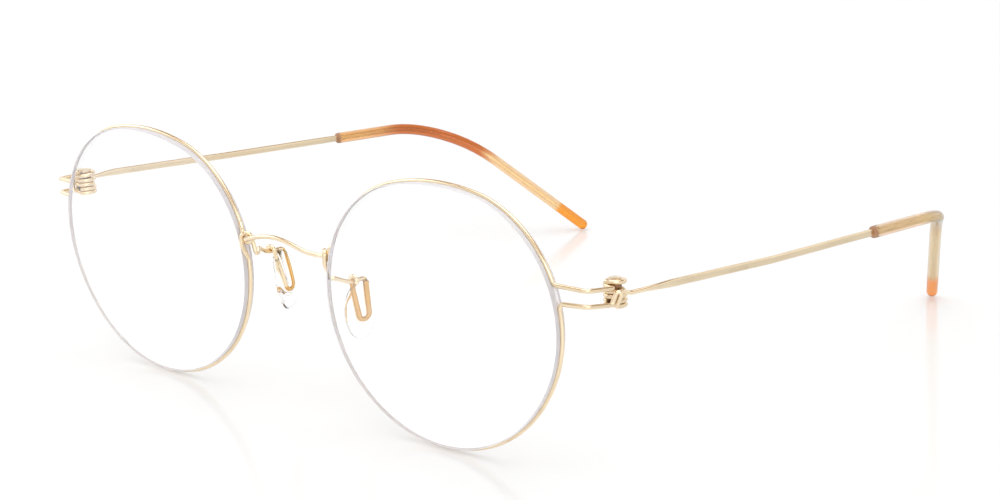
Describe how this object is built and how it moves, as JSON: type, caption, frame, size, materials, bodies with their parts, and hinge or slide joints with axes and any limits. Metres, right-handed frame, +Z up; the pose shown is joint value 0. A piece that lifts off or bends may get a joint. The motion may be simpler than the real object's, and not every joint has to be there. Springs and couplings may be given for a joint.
{
  "type": "eyeglasses",
  "caption": "Round wire-rim spectacles with lenses held in bent-wire rims, wound-wire hinges, folding temples, clear nose pads and plastic ear tips.",
  "frame": {"origin": "middle of the footprint, on the plane that the lower rims and the temple tips stand on", "axes": "+X to the wearer's left, -Y the way the wearer looks, +Z up"},
  "size_m": [0.137, 0.1282, 0.0446],
  "materials": {
    "gold_wire": "satin",
    "clear_lens": "polished, edge frosted",
    "clear_silicone": "gloss",
    "amber_plastic": "gloss, translucent"
  },
  "bodies": {
    "front": {"lens_left": "clear_lens", "lens_right": "clear_lens", "rim_wire_left": "gold_wire", "rim_wire_right": "gold_wire", "bridge_wire": "gold_wire", "nose_pad_left": "clear_silicone", "nose_pad_right": "clear_silicone", "hinge_pin_left": "gold_wire", "hinge_pin_right": "gold_wire"},
    "temple_left": {"temple_wire_left": "gold_wire", "temple_tip_left": "amber_plastic"},
    "temple_right": {"temple_wire_right": "gold_wire", "temple_tip_right": "amber_plastic"}
  },
  "joints": [
    {"name": "temple_left_hinge", "type": "hinge", "parent": "front", "child": "temple_left", "pos_m": [0.06475, -0.05197, 0.0294], "axis": [0, -0.0279, 0.9996], "range_deg": [0, 82]},
    {"name": "temple_right_hinge", "type": "hinge", "parent": "front", "child": "temple_right", "pos_m": [-0.06475, -0.05197, 0.0294], "axis": [0, -0.0279, 0.9996], "range_deg": [-76, 0]}
  ]
}
